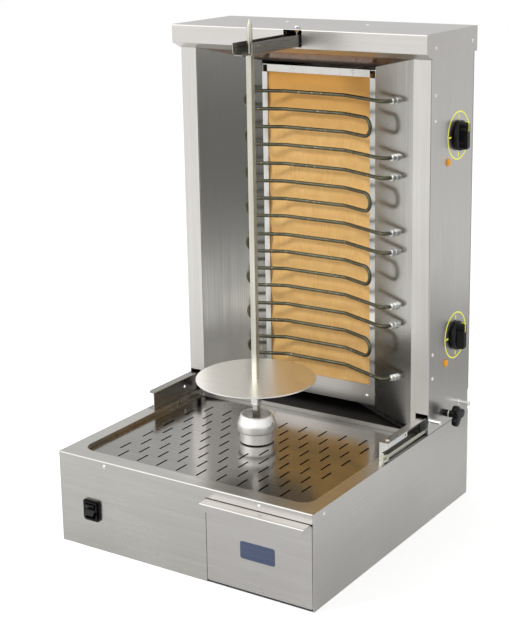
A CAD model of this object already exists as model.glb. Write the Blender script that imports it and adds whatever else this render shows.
import bmesh
import bpy
import numpy as np
from mathutils import Matrix, Vector


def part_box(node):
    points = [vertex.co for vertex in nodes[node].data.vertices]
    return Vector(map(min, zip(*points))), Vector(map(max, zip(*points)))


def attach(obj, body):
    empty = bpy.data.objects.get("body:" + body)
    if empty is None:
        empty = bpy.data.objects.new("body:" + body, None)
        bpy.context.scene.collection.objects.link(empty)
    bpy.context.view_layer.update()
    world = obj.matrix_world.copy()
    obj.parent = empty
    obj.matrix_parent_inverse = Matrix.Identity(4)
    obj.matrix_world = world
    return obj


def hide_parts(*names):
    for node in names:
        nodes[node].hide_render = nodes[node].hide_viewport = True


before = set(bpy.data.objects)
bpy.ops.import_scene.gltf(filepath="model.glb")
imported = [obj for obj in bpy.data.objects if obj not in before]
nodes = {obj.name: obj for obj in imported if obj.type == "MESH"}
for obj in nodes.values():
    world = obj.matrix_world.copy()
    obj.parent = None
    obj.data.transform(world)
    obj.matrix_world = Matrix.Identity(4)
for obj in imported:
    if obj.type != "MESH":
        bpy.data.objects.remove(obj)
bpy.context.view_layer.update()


# Panels and floor pan of the base.
# The sides and the back are stainless sheet with a satin brushed face; the pan is galvanised
# steel, turned up at its edges and spot-welded inside the panels.
def linear(code):
    """An sRGB hex colour as linear red, green, blue and full opacity."""
    srgb = np.array([int(code[i : i + 2], 16) for i in (1, 3, 5)]) / 255
    low, high = srgb / 12.92, ((srgb + 0.055) / 1.055) ** 2.4
    return (*np.where(srgb <= 0.04045, low, high).tolist(), 1.0)


def add(tree, kind, inputs=None, **settings):
    """Adds one node, sets it up, and links or fills its inputs."""
    made = tree.nodes.new(kind)
    for key, value in settings.items():
        setattr(made, key, value)
    for key, value in (inputs or {}).items():
        if isinstance(value, bpy.types.NodeSocket):
            tree.links.new(value, made.inputs[key])
        else:
            made.inputs[key].default_value = value
    return made


def bare(name, **look):
    """A new material with its surface shader, and the object coordinates that its patterns follow."""
    material = bpy.data.materials.new(name)
    material.use_nodes = True
    tree = material.node_tree
    tree.nodes.clear()
    shader = add(tree, "ShaderNodeBsdfPrincipled", {key.replace("_", " "): value for key, value in look.items()})
    add(tree, "ShaderNodeOutputMaterial", {"Surface": shader.outputs[0]})
    place = add(tree, "ShaderNodeTexCoord").outputs["Object"]
    return material, tree, shader, place


def dress(material, *names):
    """Gives CAD nodes a finished material."""
    for name in names:
        mesh = nodes[name].data
        mesh.materials.clear()
        mesh.materials.append(material)


def brushed(name, light, dark, grain, gloss, spread=0.05, wave=0.0, scratch=0.0026):
    """Brushed metal. Noise drawn long along the grain gives the scratches, which change the roughness
    by spread and stand 0.004 mm high; slow noise moves the colour between light and dark, and wave is
    the height in metres of the sheet's slow unevenness over some 120 mm. Real scratches are about
    0.1 mm apart; they are drawn a scratch apart, 0.7 to 1.6 mm on small turned pieces and 2.6 mm or
    more on sheet, because finer ones would not show in the render."""
    material, tree, shader, place = bare(name, Metallic=1.0)
    fine = [1 / scratch] * 3
    fine["XYZ".index(grain)] = 5.0
    along = add(tree, "ShaderNodeMapping", {"Vector": place, "Scale": fine})
    lines = add(tree, "ShaderNodeTexNoise", {"Vector": along.outputs[0], "Scale": 1.0, "Detail": 1.0}).outputs[0]
    cloud = add(tree, "ShaderNodeTexNoise", {"Vector": place, "Scale": 6.0, "Detail": 3.0}).outputs[0]
    both = add(tree, "ShaderNodeMath", {0: lines, 1: cloud}, operation="ADD").outputs[0]
    share = add(tree, "ShaderNodeMapRange", {"Value": both, "From Min": 0.7, "From Max": 1.3}).outputs[0]
    tone = add(tree, "ShaderNodeMix", {"Factor": share, 6: linear(light), 7: linear(dark)}, data_type="RGBA")
    rough = add(
        tree, "ShaderNodeMapRange",
        {"Value": both, "From Min": 0.7, "From Max": 1.3, "To Min": gloss - spread / 2, "To Max": gloss + spread / 2},
    )
    relief = add(tree, "ShaderNodeBump", {"Height": lines, "Strength": 0.1, "Distance": 0.00004})
    if wave:
        swell = add(tree, "ShaderNodeTexNoise", {"Vector": place, "Scale": 8.0, "Detail": 0.0}).outputs[0]
        relief = add(
            tree, "ShaderNodeBump", {"Height": swell, "Strength": 1.0, "Distance": wave, "Normal": relief.outputs[0]},
        )
    tree.links.new(tone.outputs[2], shader.inputs["Base Color"])
    tree.links.new(rough.outputs[0], shader.inputs["Roughness"])
    tree.links.new(relief.outputs[0], shader.inputs["Normal"])
    return material


def spangled(name, light, dark):
    """Hot-dip galvanised steel: zinc crystals about 9 mm across, each with its own grey and gloss."""
    material, tree, shader, place = bare(name, Metallic=1.0)
    crystal = add(tree, "ShaderNodeTexVoronoi", {"Vector": place, "Scale": 110.0}).outputs["Color"]
    tone = add(tree, "ShaderNodeMix", {"Factor": crystal, 6: linear(light), 7: linear(dark)}, data_type="RGBA")
    rough = add(tree, "ShaderNodeMapRange", {"Value": crystal, "To Min": 0.34, "To Max": 0.52})
    tree.links.new(tone.outputs[2], shader.inputs["Base Color"])
    tree.links.new(rough.outputs[0], shader.inputs["Roughness"])
    return material


# Satin 1.4301 sheet, brushed with a fine belt: broad soft reflections, a faint grain.
satin_side = brushed("stainless satin brushed front to back", "#cac8c4", "#c2c0bc", "Y", 0.30, wave=0.0001)
satin_back = brushed("stainless satin brushed level", "#ccc9c5", "#c4c1bd", "X", 0.30, wave=0.0001)
zinc_sheet = spangled("steel hot dip galvanised", "#b4b8ba", "#90959a")
dress(satin_side, "left_side_panel", "right_side_panel")
dress(satin_back, "back_panel")
dress(zinc_sheet, "floor_pan")


# Top cover.
# One folded stainless sheet: base top, front apron, rear skirt and side flanges, with a pressed
# recess for the tray. It stands between the side panels, which are screwed to it.
def reopened(material):
    """A finished material's tree and shader, the colour and roughness that feed it, and its x, y and z."""
    tree = material.node_tree
    shader = next(node for node in tree.nodes if node.type == "BSDF_PRINCIPLED")
    clean, polish = (shader.inputs[name].links[0].from_socket for name in ("Base Color", "Roughness"))
    point = add(tree, "ShaderNodeSeparateXYZ", {"Vector": add(tree, "ShaderNodeTexCoord").outputs["Object"]})
    return tree, shader, clean, polish, point.outputs


cover_steel = brushed("stainless satin brushed cover", "#cbc9c5", "#c2c0bb", "X", 0.29, wave=0.00012, scratch=0.007)
dress(cover_steel, "top_cover")

# Between the wings of the tower the sheet is black with burnt fat. The field begins 118 mm behind
# the middle of the base, reaches 214 mm to each side there, and narrows backwards like the wings.
taper, reach, fade, begins = 1.78, 0.420, 0.008, 0.118
tree, shader, clean, polish, point = reopened(cover_steel)
beside = add(tree, "ShaderNodeMath", {0: point["X"]}, operation="ABSOLUTE").outputs[0]
slope = add(tree, "ShaderNodeMath", {0: point["Y"], 1: taper, 2: beside}, operation="MULTIPLY_ADD").outputs[0]
inside = add(tree, "ShaderNodeMapRange", {"Value": slope, "From Min": reach + fade, "From Max": reach}).outputs[0]
behind = add(
    tree, "ShaderNodeMapRange", {"Value": point["Y"], "From Min": begins - fade / 4, "From Max": begins + fade / 4},
).outputs[0]
burnt = add(tree, "ShaderNodeMath", {0: inside, 1: behind}, operation="MULTIPLY").outputs[0]
sooty = add(tree, "ShaderNodeMix", {"Factor": burnt, 6: clean, 7: linear("#171412")}, data_type="RGBA")
matt = add(tree, "ShaderNodeMix", {"Factor": burnt, 2: polish, 3: 0.6})
tree.links.new(sooty.outputs[2], shader.inputs["Base Color"])
tree.links.new(matt.outputs[0], shader.inputs["Roughness"])


# Drip tray and juice pan.
# Bright-annealed stainless: nearly a mirror, wavy from the punching, dulled by use. The pan below
# it is coated with dark baked-on fat, so that the slots look black.
tray_steel = brushed("stainless bright annealed", "#a6a4a0", "#95938f", "X", 0.16, spread=0.06, wave=0.0005)
dress(tray_steel, "drip_tray")

# The cut edges of its slots, just below the top face at 158.2 mm, are black with burnt fat. Only
# the hole round the hub, within 43 mm of its axis, is kept clean.
under_face, hub_foot = 0.15817, (0.0, -0.043, 0.157)
tree, shader, clean, _, point = reopened(tray_steel)
below = add(
    tree, "ShaderNodeMapRange", {"Value": point["Z"], "From Min": under_face, "From Max": under_face - 0.00007},
)
place = add(tree, "ShaderNodeTexCoord").outputs["Object"]
from_hub = add(tree, "ShaderNodeVectorMath", {0: place, 1: hub_foot}, operation="DISTANCE")
off_hub = add(tree, "ShaderNodeMapRange", {"Value": from_hub.outputs["Value"], "From Min": 0.042, "From Max": 0.044})
slot_edge = add(tree, "ShaderNodeMath", {0: below.outputs[0], 1: off_hub.outputs[0]}, operation="MULTIPLY")
edged = add(tree, "ShaderNodeMix", {"Factor": slot_edge.outputs[0], 6: clean, 7: linear("#0c0a08")}, data_type="RGBA")
tree.links.new(edged.outputs[2], shader.inputs["Base Color"])
pan_steel, tree, shader, place = bare("stainless with baked fat", Metallic=0.0, Roughness=0.55)
film = add(tree, "ShaderNodeTexNoise", {"Vector": place, "Scale": 30.0, "Detail": 4.0}).outputs[0]
browned = add(tree, "ShaderNodeMix", {"Factor": film, 6: linear("#0c0a08"), 7: linear("#1d1813")}, data_type="RGBA")
tree.links.new(browned.outputs[2], shader.inputs["Base Color"])
dress(pan_steel, "juice_pan")


# Drive.
# A painted gearmotor hangs on a galvanised bracket under the recess. Its cast aluminium box holds
# the pinion and the wheel, and a sintered bronze bush guides the shaft.
cast, tree, shader, place = bare("aluminium die cast", Metallic=1.0)
grit = add(tree, "ShaderNodeTexNoise", {"Vector": place, "Scale": 900.0, "Detail": 2.0}).outputs[0]
grey = add(tree, "ShaderNodeMix", {"Factor": grit, 6: linear("#b3b5b6"), 7: linear("#8f9193")}, data_type="RGBA")
skin_relief = add(tree, "ShaderNodeBump", {"Height": grit, "Strength": 0.3, "Distance": 0.0001})
tree.links.new(grey.outputs[2], shader.inputs["Base Color"])
tree.links.new(skin_relief.outputs[0], shader.inputs["Normal"])
shader.inputs["Roughness"].default_value = 0.48
dress(cast, "gearbox_housing", "gearbox_cover", "slide_blocks")

paint, tree, shader, place = bare("steel painted dark grey", Roughness=0.45)
peel = add(tree, "ShaderNodeTexNoise", {"Vector": place, "Scale": 400.0}).outputs[0]
coat = add(tree, "ShaderNodeMix", {"Factor": peel, 6: linear("#3a3d40"), 7: linear("#2e3133")}, data_type="RGBA")
tree.links.new(coat.outputs[2], shader.inputs["Base Color"])
dress(paint, "motor_housing")
dress(zinc_sheet, "motor_bracket")
shaft_steel = brushed("steel ground", "#c6c6c2", "#a9a9a4", "Z", 0.22, scratch=0.0008)
dress(shaft_steel, "output_shaft", "motor_pinion")
dress(brushed("bronze sintered", "#a3814f", "#8a6a3c", "Z", 0.45), "shaft_bearing")


# Rocker switch and cable gland.
# Glossy black moulded polyamide, snapped into the apron and screwed into the back panel. The
# edges are moulded round, and catch the light as thin bright lines.
def glossy_black(name, colour, gloss, pores):
    """Moulded black plastic: the pores of the mould's face, pores per metre, change gloss and relief a little.
    Specular stays low, because such parts are waxed by use and show few reflections."""
    material, tree, shader, place = bare(name, Specular_IOR_Level=0.22)
    grain = add(tree, "ShaderNodeTexNoise", {"Vector": place, "Scale": pores, "Detail": 2.0}).outputs[0]
    rough = add(tree, "ShaderNodeMapRange", {"Value": grain, "To Min": gloss - 0.05, "To Max": gloss + 0.07})
    tone = add(tree, "ShaderNodeMix", {"Factor": grain, 6: linear(colour), 7: linear("#050506")}, data_type="RGBA")
    relief = add(tree, "ShaderNodeBump", {"Height": grain, "Strength": 0.05, "Distance": 0.00005})
    tree.links.new(tone.outputs[2], shader.inputs["Base Color"])
    tree.links.new(rough.outputs[0], shader.inputs["Roughness"])
    tree.links.new(relief.outputs[0], shader.inputs["Normal"])
    return material


def eased(name, node, body, material, radius, steps=2):
    """A copy of a CAD node with its doubles merged, its flat faces made one and its edges rounded
    wherever they turn by more than 28 degrees."""
    weld, level, corner = 2e-6, 0.01, 28
    form = bmesh.new()
    form.from_mesh(nodes[node].data)
    bmesh.ops.remove_doubles(form, verts=form.verts, dist=weld)
    bmesh.ops.dissolve_limit(form, angle_limit=level, verts=form.verts, edges=form.edges)
    mesh = bpy.data.meshes.new(name)
    form.to_mesh(mesh)
    form.free()
    if "custom_normal" in mesh.attributes:
        mesh.attributes.remove(mesh.attributes["custom_normal"])
    mesh.materials.append(material)
    mesh.shade_smooth()
    piece = bpy.data.objects.new(name, mesh)
    bpy.context.scene.collection.objects.link(piece)
    edge = piece.modifiers.new("rounded edges", "BEVEL")
    edge.width, edge.segments = radius, steps
    edge.limit_method, edge.angle_limit = "ANGLE", np.radians(corner)
    edge.harden_normals = True
    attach(piece, body)
    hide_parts(node)
    return piece


switch_black = glossy_black("polyamide moulded glossy black", "#0c0c0d", 0.16, 900.0)
eased("switch_frame", "switch_housing", "base", switch_black, 0.0006)
eased("switch_key", "rocker_switch", "switch_rocker", switch_black, 0.0006)
gland_black = glossy_black("polyamide moulded black", "#1a1a1b", 0.35, 700.0)
eased("cord_gland", "cable_gland", "base", gland_black, 0.0005)


# Juice drawer.
# A folded box of plain steel sheet behind an overlay front of satin stainless, whose top edge is
# folded out and down as a grip. It slides on two galvanised angles.
front_steel = brushed("stainless satin brushed drawer", "#cccac7", "#c4c1be", "X", 0.29, wave=0.0001, scratch=0.007)
mill_steel = brushed("stainless folded mill finish", "#c3c1bd", "#aeaca8", "Y", 0.30)
dress(front_steel, "drawer_front")
dress(mill_steel, "drawer_box")
dress(zinc_sheet, "drawer_runners")


# Badge plate.
# A blank aluminium plate, anodised slate blue and brushed, with a rolled edge, glued on the drawer.
slate = brushed("aluminium anodised slate blue", "#66718b", "#59637c", "X", 0.36)
eased("badge_blank", "drawer_badge", "drawer", slate, 0.0004, steps=3)


# Rails, end bracket and guide rod.
# Two channels folded from heavy stainless sheet, spot-welded on the cover, carry the tower. A
# zinc-plated angle holds the ground rod that the slide blocks run on, with a hex nut on its end.
rail_web = brushed("stainless folded rail", "#a9a7a3", "#918f8b", "Y", 0.26, wave=0.0002)
plated = brushed("steel zinc plated", "#dfe0de", "#c9cac8", "Y", 0.27)
rod_steel = brushed("carbon steel ground rod", "#c4c3b6", "#a3a294", "Y", 0.18, scratch=0.0007)
dress(rail_web, "left_rail", "right_rail")
dress(plated, "rail_end_bracket")
eased("guide_rod_with_nut", "guide_rod", "base", rod_steel, 0.0004)


# Hub, spit bar, disc and pin.
# The hub is turned from aluminium and polished. The square bar is drawn stainless, ground where
# the arm holds it; the disc is stainless sheet, brushed, with its sleeve welded under it.
hub_alloy = brushed("aluminium turned and polished", "#fbfaf8", "#f3f1ee", "Z", 0.42, spread=0.05, scratch=0.0016)
eased("hub_cup", "drive_hub", "spit", hub_alloy, 0.0005, steps=3)
bar_steel = brushed("stainless drawn square bar", "#d2d0c4", "#bdbbae", "Z", 0.27)
eased("spit_square_bar", "spit_bar", "spit", bar_steel, 0.0006)
disc_steel = brushed("stainless satin disc", "#faf9f6", "#f1efeb", "X", 0.31, spread=0.03, scratch=0.004)
dress(disc_steel, "meat_disc")
dress(shaft_steel, "disc_pin")


# Sides and back of the tower.
# Stainless sheet brushed along its height. Each side is folded twice at the front to make the
# column beside the opening; the back cover is slotted above and below for the air.
satin_upright = brushed("stainless satin brushed upright", "#cfcdc9", "#c6c3bf", "Z", 0.30, wave=0.0001)
dress(satin_upright, "tower_left_side", "tower_right_side", "tower_back_cover")
dress(satin_back, "tower_floor")


# Reflectors and deflector.
# Bright-rolled stainless wings beside the board and a sloping plate above it. They throw the heat
# forward, so they are nearly mirrors, and the heat has browned them a little.
wing_steel = brushed("stainless bright rolled reflector", "#c3c1bc", "#b0aea8", "Z", 0.20, spread=0.06, wave=0.0003)
dress(wing_steel, "left_reflector", "right_reflector")
hood_steel = brushed("stainless heat browned", "#87592c", "#694522", "X", 0.22, wave=0.0003)
dress(hood_steel, "top_deflector")

# Matt soot covers its lower edge next to the board, fully below 806.5 mm and fading out at 812.5.
full_soot, no_soot = 0.8065, 0.8125
tree, shader, clean, polish, point = reopened(hood_steel)
low_edge = add(tree, "ShaderNodeMapRange", {"Value": point["Z"], "From Min": no_soot, "From Max": full_soot})
sooty = add(tree, "ShaderNodeMix", {"Factor": low_edge.outputs[0], 6: clean, 7: linear("#221d17")}, data_type="RGBA")
matt = add(tree, "ShaderNodeMix", {"Factor": low_edge.outputs[0], 2: polish, 3: 0.6})
bare_metal = add(tree, "ShaderNodeMath", {0: 1.0, 1: low_edge.outputs[0]}, operation="SUBTRACT")
tree.links.new(sooty.outputs[2], shader.inputs["Base Color"])
tree.links.new(matt.outputs[0], shader.inputs["Roughness"])
tree.links.new(bare_metal.outputs[0], shader.inputs["Metallic"])


# Frame and refractory board.
# The frame is folded satin strip. The board is pressed ceramic fibre, tan, cut with a knife; its
# face is uneven, with faint wire marks of the press and small pits.
frame_steel = brushed("stainless satin brushed frame", "#cfcdc9", "#c9c7c2", "Z", 0.27, spread=0.02, scratch=0.02)
dress(frame_steel, "board_frame")
fibre, tree, shader, place = bare("ceramic fibre board pressed", Roughness=0.93)
felt = add(
    tree, "ShaderNodeTexNoise", {"Vector": place, "Scale": 45.0, "Detail": 8.0, "Roughness": 0.65},
).outputs[0]
wires = add(tree, "ShaderNodeMapping", {"Vector": place, "Scale": (900.0, 900.0, 14.0)})
streak = add(tree, "ShaderNodeTexNoise", {"Vector": wires.outputs[0], "Scale": 1.0, "Detail": 2.0}).outputs[0]
mottled = add(tree, "ShaderNodeMath", {0: felt, 1: streak}, operation="ADD").outputs[0]
share = add(tree, "ShaderNodeMapRange", {"Value": mottled, "From Min": 0.75, "From Max": 1.25}).outputs[0]
tan = add(tree, "ShaderNodeMix", {"Factor": share, 6: linear("#ffd28a"), 7: linear("#f2bd74")}, data_type="RGBA")
height = add(tree, "ShaderNodeSeparateXYZ", {"Vector": place}).outputs["Z"]
browned = add(tree, "ShaderNodeMapRange", {"Value": height, "From Min": 0.66, "From Max": 0.79}).outputs[0]
scorched = add(tree, "ShaderNodeMix", {"Factor": browned, 6: tan.outputs[2], 7: linear("#e0a350")}, data_type="RGBA")
relief = add(tree, "ShaderNodeBump", {"Height": mottled, "Strength": 0.35, "Distance": 0.0006})
tree.links.new(scorched.outputs[2], shader.inputs["Base Color"])
tree.links.new(relief.outputs[0], shader.inputs["Normal"])


def solid(name, parts, material, body, sharp=35.0, replaced=()):
    """One mesh of closed skins. Each part is an array (rings, points round, 3) in millimetres: four-sided
    faces join each ring to the next one, and a fan to its mean point closes each end. A part whose
    volume comes out negative is turned round, so that all faces point outwards."""
    points, faces, before = [], [], 0
    for rings in parts:
        count, around = rings.shape[:2]
        cloud = np.vstack([rings.reshape(-1, 3), rings[0].mean(0), rings[-1].mean(0)]) / 1000
        here = np.arange(around)
        ahead = np.roll(here, -1)
        row = np.arange(count - 1)[:, None] * around
        low = np.stack([row + here, row + ahead, row + ahead + around], -1).reshape(-1, 3)
        high = np.stack([row + here, row + ahead + around, row + here + around], -1).reshape(-1, 3)
        top = (count - 1) * around
        first = np.stack([np.full(around, count * around), ahead, here], -1)
        last = np.stack([np.full(around, count * around + 1), top + here, top + ahead], -1)
        corners = np.vstack([low, high, first, last])
        a, b, c = cloud[corners[:, 0]], cloud[corners[:, 1]], cloud[corners[:, 2]]
        if np.einsum("ij,ij->", a, np.cross(b, c)) < 0:
            corners = corners[:, ::-1]
        points.append(cloud)
        faces.append(corners + before)
        before += len(cloud)
    mesh = bpy.data.meshes.new(name)
    mesh.from_pydata(np.vstack(points).tolist(), [], np.vstack(faces).tolist())
    mesh.materials.append(material)
    mesh.shade_smooth()
    mesh.set_sharp_from_angle(angle=np.radians(sharp))
    piece = bpy.data.objects.new(name, mesh)
    bpy.context.scene.collection.objects.link(piece)
    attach(piece, body)
    if replaced:
        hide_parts(*replaced)
    return piece


def pressed_board(low, high, wave, across, up):
    """The board as rings up its height, each side cut 4.5 mm shorter above 777 mm, behind the frame's
    upper strip. Its face lies back from the CAD face by wave times half of (1 + sin of the height, in
    waves of two runs of the elements, slanting with x), times a ramp that grows with the square of x
    from 0.25 to 1, and by swells of up to 1 mm, one radian of which is 31 mm long across and
    47 mm upwards."""
    strip_foot, cut, run_pitch, slant, swell_x, swell_z = 777, 4.5, 32.8, 0.05, 31, 47
    x = np.linspace(low[0], high[0], across)
    z = np.linspace(low[2], high[2], up)
    grid_x, grid_z = np.meshgrid(x, z)
    grid_x = grid_x * np.where(grid_z > strip_foot, 1 - cut / high[0], 1)
    to_edge = np.abs(grid_x) / high[0]
    phase = np.pi * (grid_z - slant * grid_x) / run_pitch
    dent = wave * (0.5 + 0.5 * np.sin(phase)) * (0.25 + 0.75 * to_edge**2)
    dent += 0.5 * (1 + np.sin(grid_x / swell_x + 2 * np.sin(grid_z / swell_z)))
    face = np.stack([grid_x, low[1] + dent, grid_z], -1)
    back = np.stack([grid_x, np.full_like(grid_x, high[1]), grid_z], -1)
    return np.concatenate([face, back[:, ::-1]], 1)


low, high = (np.array(corner) * 1000 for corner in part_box("refractory_board"))
board = pressed_board(low, high, 4.4, 60, 200)
solid("fibre_board", [board], fibre, "heater", sharp=60, replaced=["refractory_board"])


# Heating elements with their nuts and insulators.
# Each is a tubular heater, its sheath annealed to a grey-olive oxide with brighter rub marks, bent
# into four runs. Zinc-plated nuts clamp its ends to the right wing; steatite beads stand behind.
sheath, tree, shader, place = bare("heater sheath oxidised", Metallic=1.0)
oxide = add(tree, "ShaderNodeTexNoise", {"Vector": place, "Scale": 60.0, "Detail": 5.0}).outputs[0]
rubbed = add(tree, "ShaderNodeTexNoise", {"Vector": place, "Scale": 240.0, "Detail": 3.0}).outputs[0]
olive = add(tree, "ShaderNodeMix", {"Factor": oxide, 6: linear("#6e6d5a"), 7: linear("#45443a")}, data_type="RGBA")
rub = add(tree, "ShaderNodeMapRange", {"Value": rubbed, "From Min": 0.62, "From Max": 0.70}).outputs[0]
tube_tone = add(tree, "ShaderNodeMix", {"Factor": rub, 6: olive.outputs[2], 7: linear("#9b9a86")}, data_type="RGBA")
tube_gloss = add(tree, "ShaderNodeMapRange", {"Value": oxide, "To Min": 0.26, "To Max": 0.42})
tree.links.new(tube_tone.outputs[2], shader.inputs["Base Color"])
tree.links.new(tube_gloss.outputs[0], shader.inputs["Roughness"])
dress(sheath, *["heating_element_%d" % number for number in (1, 2, 3, 4)])
nut_zinc = brushed("steel bright zinc plated", "#f8fafa", "#e6e8e9", "Z", 0.24)
eased("clamping_nuts", "element_nuts", "heater", nut_zinc, 0.0004)
steatite, tree, shader, place = bare("steatite unglazed", Roughness=0.6)
speck = add(tree, "ShaderNodeTexNoise", {"Vector": place, "Scale": 500.0, "Detail": 3.0}).outputs[0]
cream = add(tree, "ShaderNodeMix", {"Factor": speck, 6: linear("#ece5d6"), 7: linear("#d9d0bd")}, data_type="RGBA")
tree.links.new(cream.outputs[2], shader.inputs["Base Color"])
dress(steatite, "element_insulators")


# Cap of the tower.
# One shell of satin stainless, folded and welded at its corners, screwed down over the tower.
cap_steel = brushed("stainless satin brushed cap", "#cecbc8", "#c6c3bf", "X", 0.30, wave=0.0001)
dress(cap_steel, "tower_cap")


# Top arm with its guide, nut and screw.
# The arm is a channel of heavy sheet, left with its grey mill skin. It runs in a folded guide under
# the cap, and a screw through a brass nut pinches it there.
arm_steel = brushed("stainless folded grey", "#b3b0ab", "#979590", "Y", 0.28)
dress(arm_steel, "arm_guide", "top_arm")
brass = brushed("brass turned", "#d9ae5e", "#c0954a", "Z", 0.25, scratch=0.0008)
dress(brass, "clamp_nut")
screw_steel = brushed("stainless turned bright", "#dfdedb", "#cac9c5", "Z", 0.2, scratch=0.0008)
eased("arm_screw", "arm_clamp_screw", "arm_clamp", screw_steel, 0.0003)


# Side bolts of the slide blocks.
# Bright zinc-plated bolts go through the tower's sides into the cast blocks.
eased("block_bolts", "side_bolts", "heater", nut_zinc, 0.0003)


# Clamp knob with its stud.
# A three-lobed grip of glossy black phenolic on a bright threaded stud.
phenolic = glossy_black("phenolic moulded black", "#0f0f11", 0.17, 1100.0)
turn = np.linspace(0, 2 * np.pi, 96, endpoint=False)


def lathe(profile, centre, outline=1.0):
    """Rings round an axis along X: each profile pair is a place along X and a radius, and outline
    multiplies the radius round the turn."""
    x, radius = np.array(profile, float).T
    y = centre[0] + radius[:, None] * outline * np.cos(turn)
    z = centre[1] + radius[:, None] * outline * np.sin(turn)
    return np.stack([np.broadcast_to(x[:, None], y.shape), y, z], -1)


def lobed(core, lobe, out, count):
    """Radius round the turn of a core circle and count lobes whose centres lie out from it, joined softly
    as the ninth root of the sum of their ninth powers."""
    softness = 9
    nearest = (turn + np.pi / count) % (2 * np.pi / count) - np.pi / count
    inside = np.clip(lobe**2 - (out * np.sin(nearest)) ** 2, 0, None)
    reach = np.where(np.abs(out * np.sin(nearest)) < lobe, out * np.cos(nearest) + np.sqrt(inside), 0)
    return (reach**softness + core**softness) ** (1 / softness)


clamp_centre = (180.5, 188.2)
stem_radius = 6.5
star = lobed(core=11.0, lobe=8.0, out=13.0, count=3)
stem = lathe([(258.5, stem_radius), (266.0, stem_radius)], clamp_centre)
neck = lathe([(268.0, stem_radius), (273.5, stem_radius), (275.0, 8.0), (276.9, 10.4)], clamp_centre)
rounded = [
    (276.5, 0.86), (276.9, 0.94), (278.2, 0.985), (280.0, 1.0), (284.0, 1.0),
    (285.8, 0.985), (287.0, 0.94), (287.5, 0.86), (287.2, 0.3),
]
grip = lathe(rounded, clamp_centre, star)
solid("star_knob", [stem, neck, grip], phenolic, "tower_clamp", replaced=["clamp_knob"])
dress(screw_steel, "clamp_stud")


# Regulators with their printed dials.
# A moulded energy regulator sits behind the right side for each pair of elements; the ring and the
# four marks round its knob are screen-printed on the steel in a slightly fluorescent lime yellow.
dress(glossy_black("phenolic moulded dull", "#1c1c1e", 0.5, 600.0), "regulators")
ink, tree, shader, place = bare("screen ink lime yellow", Roughness=0.45)
mesh_marks = add(tree, "ShaderNodeTexNoise", {"Vector": place, "Scale": 800.0, "Detail": 1.0}).outputs[0]
lime = add(tree, "ShaderNodeMix", {"Factor": mesh_marks, 6: linear("#fbfb50"), 7: linear("#f0f03c")}, data_type="RGBA")
shader.inputs["Emission Color"].default_value = linear("#f2f238")
shader.inputs["Emission Strength"].default_value = 0.3
tree.links.new(lime.outputs[2], shader.inputs["Base Color"])
dress(ink, "dial_rings")


# Pilot lights.
# Amber polycarbonate lenses with eight moulded facets, pushed in under each dial.
amber, tree, shader, place = bare("polycarbonate amber", Roughness=0.12)
depth = add(tree, "ShaderNodeTexNoise", {"Vector": place, "Scale": 260.0, "Detail": 2.0}).outputs[0]
glow = add(tree, "ShaderNodeMix", {"Factor": depth, 6: linear("#ffbc2e"), 7: linear("#f69412")}, data_type="RGBA")
tree.links.new(glow.outputs[2], shader.inputs["Base Color"])
facets = np.cos(np.pi / 8) / np.cos((turn + np.pi / 8) % (np.pi / 4) - np.pi / 8)
lenses = []
side_face, barrel, rim = 257.5, 5.0, 7.0
for height in (644.4, 282.7):
    lens_centre = (178.0, height)
    dome = [(side_face, rim), (259.0, rim), (260.7, 5.8), (261.7, 3.2), (262.0, 1.0)]
    lenses.append(lathe([(240.3, barrel), (side_face, barrel)], lens_centre))
    lenses.append(lathe(dome, lens_centre, facets))
solid("pilot_lenses", lenses, amber, "heater", sharp=12, replaced=["pilot_lights"])


# Regulator knobs.
# Glossy black phenolic: a round skirt and a wide grip bar whose flanks are ribbed for the fingers.
# A lime yellow line along the bar's upper end and face is the pointer.
def grip_bar(centre, half_y, half_z, levels):
    """Rings of a bar that stands up along X. Its outline is a squared ellipse, |y/a|^5 + |z/b|^5 = 1,
    drawn in by a tenth at the waist, with three ribs 0.45 mm high on each flank; each level is a place
    along X, a scale of the whole outline and a spread of its width."""
    c, s = np.cos(turn), np.sin(turn)
    y = half_y * np.sign(c) * np.abs(c) ** 0.4
    z = half_z * np.sign(s) * np.abs(s) ** 0.4
    along = z / half_z
    middle = 1 - along**2
    ribs = 0.45 * np.sign(c) * np.cos(3 * np.pi * along) * middle * (np.abs(c) > 0.25)
    y = y * (1 - 0.10 * middle) - ribs
    x, scale, spread = np.array(levels, float).T
    ring_y = centre[0] + y * (scale * spread)[:, None]
    ring_z = centre[1] + z * scale[:, None]
    return np.stack([np.broadcast_to(x[:, None], ring_y.shape), ring_y, ring_z], -1)


def strip(x0, x1, y0, y1, z0, z1):
    """A bar with square ends as two rings, one at each end along X."""
    outline = np.array([(y0, z0), (y1, z0), (y1, z1), (y0, z1)], float)
    return np.stack([np.column_stack([np.full(4, x), outline]) for x in (x0, x1)])


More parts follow.
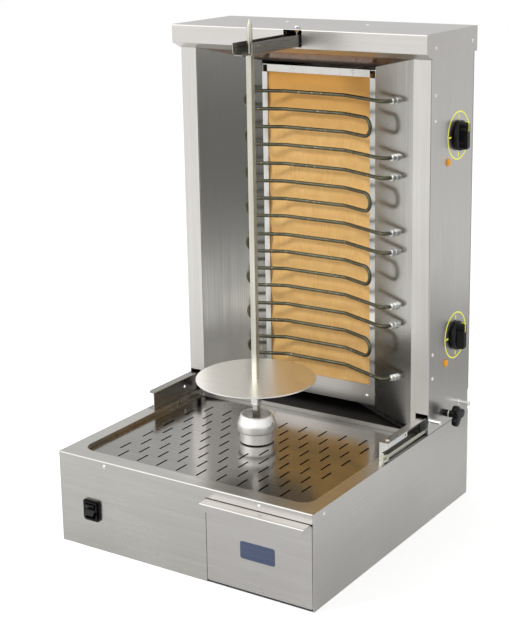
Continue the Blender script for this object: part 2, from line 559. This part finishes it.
skirt_profile = [
    (236.3, 3.0), (260.2, 3.0), (260.2, 25.8), (260.7, 26.5),
    (263.8, 26.5), (264.9, 26.0), (266.0, 24.6), (266.2, 10.0),
]
bar_levels = [
    (263.0, 1.02, 1.75), (265.5, 1.01, 1.5), (268.0, 0.995, 1.28), (271.5, 0.98, 1.1), (274.6, 0.96, 1.0),
    (276.0, 0.935, 1.0), (276.7, 0.885, 1.0), (276.9, 0.80, 1.0), (276.9, 0.4, 1.0),
]
bar_half_width, bar_half_height, line = 7.5, 24.6, 0.8
for label, height in (("upper", 686.0), ("lower", 324.3)):
    centre = (217.5, height)
    skirt = lathe(skirt_profile, centre)
    bar = grip_bar(centre, bar_half_width, bar_half_height, bar_levels)
    piece, body, node = "knob_" + label, label + "_knob", "regulator_knob_" + label
    solid(piece, [skirt, bar], phenolic, body, sharp=40, replaced=[node])
    pointer_end = strip(267.0, 276.6, centre[0] - line, centre[0] + line, height + 22.0, height + 24.4)
    pointer_face = strip(276.0, 277.15, centre[0] - line, centre[0] + line, height + 8.0, height + 23.4)
    solid(piece + "_pointer", [pointer_end, pointer_face], ink, body)


# Screws of the base and the tower.
# Domed stainless sheet screws, polished, with a cross recess and a short straight rim.
def screw_heads(places, radius, rise):
    """Domed heads: the height is rise times (1 - 0.65 times the squared share of the radius), less 0.55 of
    rise in a cross in the middle. Each place is a point on the sheet and the way that the head points."""
    fall, cut, half_slot, slot_end = 0.65, 0.55, 0.14, 0.55
    steps = np.linspace(0.02, 1.0, 9)
    cross_turn = np.linspace(0, 2 * np.pi, 32, endpoint=False)
    share, angle = np.meshgrid(steps, cross_turn, indexing="ij")
    height = rise * (1 - fall * share**2)
    arm = np.minimum(np.abs(np.sin(angle)), np.abs(np.cos(angle))) * share
    height = height - rise * cut * (arm < half_slot) * (share < slot_end)
    heads = []
    for place, along in places:
        along = np.array(along, float)
        side = np.array((along[1], along[2], along[0]))
        other = np.cross(along, side)
        flat = radius * share[..., None] * (np.cos(angle)[..., None] * side + np.sin(angle)[..., None] * other)
        dome = np.array(place) + flat + height[..., None] * along
        foot = dome[-1:] - height[-1:, :, None] * along
        heads.append(np.concatenate([dome, foot]))
    return heads


left, right, up, back, front = (-1, 0, 0), (1, 0, 0), (0, 0, 1), (0, 1, 0), (0, -1, 0)
base_places = [((247.0, -17.0, 199.0), up)]
for side, outward in ((-1, left), (1, right)):
    base_places.append(((side * 157.5, -276.0, 157.0), front))
    base_places.append(((side * 257.5, -243.0, 156.0), outward))
    base_places.append(((side * 150.0, 276.0, 156.0), back))

tower_places = []
for side, outward in ((-1, left), (1, right)):
    tower_places += [((side * 257.5, 128.0, height), outward) for height in (765.6, 721.8, 311.2, 267.5)]
    tower_places += [((side * 259.45, cap_y, 845.0), outward) for cap_y in (122.7, 262.6)]
    tower_places.append(((side * 83.5, 207.0, 870.0), up))
    tower_places.append(((side * 102.0, 172.5, 194.0), front))
    tower_places += [((side * 248.0, 276.0, height), back) for height in (240.0, 518.0, 722.0)]
head, low_head = (3.6, 1.8), (3.0, 1.5)
screw_bright = brushed("stainless screw polished", "#f6f5f2", "#e8e7e3", "Z", 0.27, scratch=0.0008)
cover_heads = screw_heads(base_places, *head)
solid("cover_screws", cover_heads, screw_bright, "base", replaced=["base_screws"])
panel_heads = screw_heads(tower_places, *head)
strip_heads = screw_heads([((x, 172.5, 790.5), front) for x in (-53.5, 72.4)], *low_head)
all_heads = panel_heads + strip_heads
solid("panel_screws", all_heads, screw_bright, "heater", replaced=["tower_screws"])


# Studio floor.
# A matt white table. Camera rays and reflections see it lighter than it is lit, so that it turns
# white but keeps the shadow. Metal also sees two darker parts: by the camera and behind on the right.
floor_mesh = bpy.data.meshes.new("floor")
floor_mesh.from_pydata([(-8, -8, 0), (8, -8, 0), (8, 8, 0), (-8, 8, 0)], [], [(0, 1, 2, 3)])
floor = bpy.data.objects.new("floor", floor_mesh)
bpy.context.scene.collection.objects.link(floor)
table, tree, shader, place = bare("table matt white", Roughness=0.9)
seen = add(tree, "ShaderNodeLightPath")
mirrored = add(
    tree, "ShaderNodeMath",
    {0: seen.outputs["Is Glossy Ray"], 1: seen.outputs["Is Transmission Ray"]}, operation="MAXIMUM",
)
spot = add(tree, "ShaderNodeSeparateXYZ", {"Vector": place})
to_right = add(tree, "ShaderNodeMapRange", {"Value": spot.outputs["X"], "From Min": -0.5, "From Max": 0.5})
to_front = add(tree, "ShaderNodeMapRange", {"Value": spot.outputs["Y"], "From Min": -1.3, "From Max": -1.7})
dark = add(tree, "ShaderNodeMath", {0: to_right.outputs[0], 1: to_front.outputs[0]}, operation="MULTIPLY")
near = add(
    tree, "ShaderNodeMapRange", {"Value": spot.outputs["Y"], "From Min": 0.3, "From Max": -0.2, "To Max": 0.08},
)
room = add(tree, "ShaderNodeMath", {0: dark.outputs[0], 1: near.outputs[0]}, operation="MAXIMUM")
behind_right = (0.8, 1.0, 0.0)
from_patch = add(tree, "ShaderNodeVectorMath", {0: place, 1: behind_right}, operation="DISTANCE")
patch = add(
    tree, "ShaderNodeMapRange",
    {"Value": from_patch.outputs["Value"], "From Min": 0.65, "From Max": 0.2, "To Max": 0.8},
)
room = add(tree, "ShaderNodeMath", {0: room.outputs[0], 1: patch.outputs[0]}, operation="MAXIMUM")
dim = add(tree, "ShaderNodeMath", {0: room.outputs[0], 1: mirrored.outputs[0]}, operation="MULTIPLY")
bright, dusk = linear("#f4f4f4"), linear("#6a6a6a")
seen_glow, left_glow = 0.42, 0.3
paper = add(tree, "ShaderNodeMix", {"Factor": dim.outputs[0], 6: bright, 7: dusk}, data_type="RGBA")
left_front = add(tree, "ShaderNodeMapRange", {"Value": spot.outputs["X"], "From Min": -0.2, "From Max": -1.1})
near_left = add(tree, "ShaderNodeMath", {0: left_front.outputs[0], 1: mirrored.outputs[0]}, operation="MULTIPLY")
lift = add(tree, "ShaderNodeMath", {0: near_left.outputs[0], 1: left_glow}, operation="MULTIPLY")
behind = add(
    tree, "ShaderNodeMapRange", {"Value": spot.outputs["Y"], "From Min": -0.6, "From Max": 0.2, "To Max": 0.09},
)
at_right = add(tree, "ShaderNodeMapRange", {"Value": spot.outputs["X"], "From Min": 0.1, "From Max": 0.3})
near_right = add(tree, "ShaderNodeMath", {0: behind.outputs[0], 1: at_right.outputs[0]}, operation="MULTIPLY")
beside = add(tree, "ShaderNodeMath", {0: near_right.outputs[0], 1: mirrored.outputs[0]}, operation="MULTIPLY")
lift = add(tree, "ShaderNodeMath", {0: lift.outputs[0], 1: beside.outputs[0]}, operation="ADD")
own = add(tree, "ShaderNodeMath", {0: seen.outputs["Is Camera Ray"], 1: seen_glow}, operation="MULTIPLY")
glow = add(tree, "ShaderNodeMath", {0: lift.outputs[0], 1: own.outputs[0]}, operation="ADD")
tree.links.new(paper.outputs[2], shader.inputs["Base Color"])
shader.inputs["Emission Color"].default_value = (1, 1, 1, 1)
tree.links.new(glow.outputs[0], shader.inputs["Emission Strength"])
floor_mesh.materials.append(table)


# Studio light.
# White for the camera; softer for what lights the object. Metal sees a white room that is darker low
# at the front right, lighter in front and brightest where the soft key lamp stands, front left.
world = bpy.data.worlds.new("studio")
bpy.context.scene.world = world
world.use_nodes = True
tree = world.node_tree
tree.nodes.clear()
seen = add(tree, "ShaderNodeLightPath")
mirrored = add(
    tree, "ShaderNodeMath",
    {0: seen.outputs["Is Glossy Ray"], 1: seen.outputs["Is Transmission Ray"]}, operation="MAXIMUM",
)
way = add(tree, "ShaderNodeSeparateXYZ", {"Vector": add(tree, "ShaderNodeTexCoord").outputs["Generated"]})
overhead = add(
    tree, "ShaderNodeMapRange",
    {"Value": way.outputs["Z"], "From Min": 0.3, "From Max": 0.7, "To Min": 0.76, "To Max": 0.95},
)
forward = add(
    tree, "ShaderNodeMapRange", {"Value": way.outputs["Y"], "From Min": 0.3, "From Max": -0.7, "To Max": 0.5},
)
room_light = add(tree, "ShaderNodeMath", {0: overhead.outputs[0], 1: forward.outputs[0]}, operation="ADD")
to_key_lamp = (-0.47, -0.67, 0.57)
lamp_way = add(
    tree, "ShaderNodeVectorMath",
    {0: add(tree, "ShaderNodeTexCoord").outputs["Generated"], 1: to_key_lamp}, operation="DOT_PRODUCT",
)
lamp_face = add(
    tree, "ShaderNodeMapRange",
    {"Value": lamp_way.outputs["Value"], "From Min": 0.80, "From Max": 0.96, "To Max": 1.0},
)
lighter = add(tree, "ShaderNodeMath", {0: room_light.outputs[0], 1: lamp_face.outputs[0]}, operation="ADD")
level_dark = add(tree, "ShaderNodeMapRange", {"Value": way.outputs["Z"], "From Min": 0.28, "From Max": 0.05})
right_dark = add(tree, "ShaderNodeMapRange", {"Value": way.outputs["X"], "From Min": 0.0, "From Max": 0.3})
front_dark = add(
    tree, "ShaderNodeMapRange", {"Value": way.outputs["Y"], "From Min": -0.2, "From Max": -0.6, "To Max": 0.5},
)
corner = add(tree, "ShaderNodeMath", {0: level_dark.outputs[0], 1: right_dark.outputs[0]}, operation="MULTIPLY")
corner = add(tree, "ShaderNodeMath", {0: corner.outputs[0], 1: front_dark.outputs[0]}, operation="MULTIPLY")
open_part = add(tree, "ShaderNodeMath", {0: 1.0, 1: corner.outputs[0]}, operation="SUBTRACT")
around = add(tree, "ShaderNodeMath", {0: lighter.outputs[0], 1: open_part.outputs[0]}, operation="MULTIPLY")
plain = (1, 1, 1, 1)
soft = add(tree, "ShaderNodeBackground", {"Color": plain, "Strength": 0.64})
room = add(tree, "ShaderNodeBackground", {"Color": plain, "Strength": around.outputs[0]})
white = add(tree, "ShaderNodeBackground", {"Color": plain, "Strength": 1.0})
shown = add(tree, "ShaderNodeMixShader", {0: mirrored.outputs[0], 1: soft.outputs[0], 2: room.outputs[0]})
shown = add(tree, "ShaderNodeMixShader", {0: seen.outputs["Is Camera Ray"], 1: shown.outputs[0], 2: white.outputs[0]})
add(tree, "ShaderNodeOutputWorld", {"Surface": shown.outputs[0]})


def soft_lamp(name, place, size, power):
    """A square lamp that faces the middle of the object and leaves no hard glint on the metal, which
    mirrors the white room instead."""
    lamp = bpy.data.lights.new(name, "AREA")
    lamp.shape, lamp.size, lamp.energy = "SQUARE", size, power
    holder = bpy.data.objects.new(name, lamp)
    aim = Vector((0, 0, 0.4)) - Vector(place)
    holder.location = place
    holder.rotation_euler = aim.to_track_quat("-Z", "Y").to_euler()
    holder.visible_glossy = False
    bpy.context.scene.collection.objects.link(holder)


soft_lamp("key lamp", (-1.8, -2.6, 2.6), 0.8, 54)
soft_lamp("fill lamp", (2.8, 0.6, 2.2), 2.0, 14)


# Camera.
# It stands where the photograph was taken from, turned 34 degrees from the object's front and
# looking down by 14, with a lens that gives the photograph's perspective.
yaw, pitch, roll = 0.5890, 0.2434, -0.0181
frame_height, focal, middle_row, sensor = 624, 1448.2, 250, 36
level = np.array([np.cos(yaw), np.sin(yaw), 0.0])
ahead = np.array([-np.sin(yaw) * np.cos(pitch), np.cos(yaw) * np.cos(pitch), -np.sin(pitch)])
above = np.cross(level, ahead)
wide = level * np.cos(roll) + above * np.sin(roll)
tall = above * np.cos(roll) - level * np.sin(roll)
eye = bpy.data.cameras.new("camera")
eye.lens = focal / frame_height * sensor
eye.shift_y = (middle_row - frame_height / 2) / frame_height
eye.clip_end = 50
camera = bpy.data.objects.new("camera", eye)
camera.matrix_world = Matrix([
    (wide[0], tall[0], -ahead[0], 1.3391),
    (wide[1], tall[1], -ahead[1], -2.0443),
    (wide[2], tall[2], -ahead[2], 1.1038),
    (0, 0, 0, 1),
])
bpy.context.scene.collection.objects.link(camera)
bpy.context.scene.camera = camera
bpy.context.scene.view_settings.view_transform = "Standard"
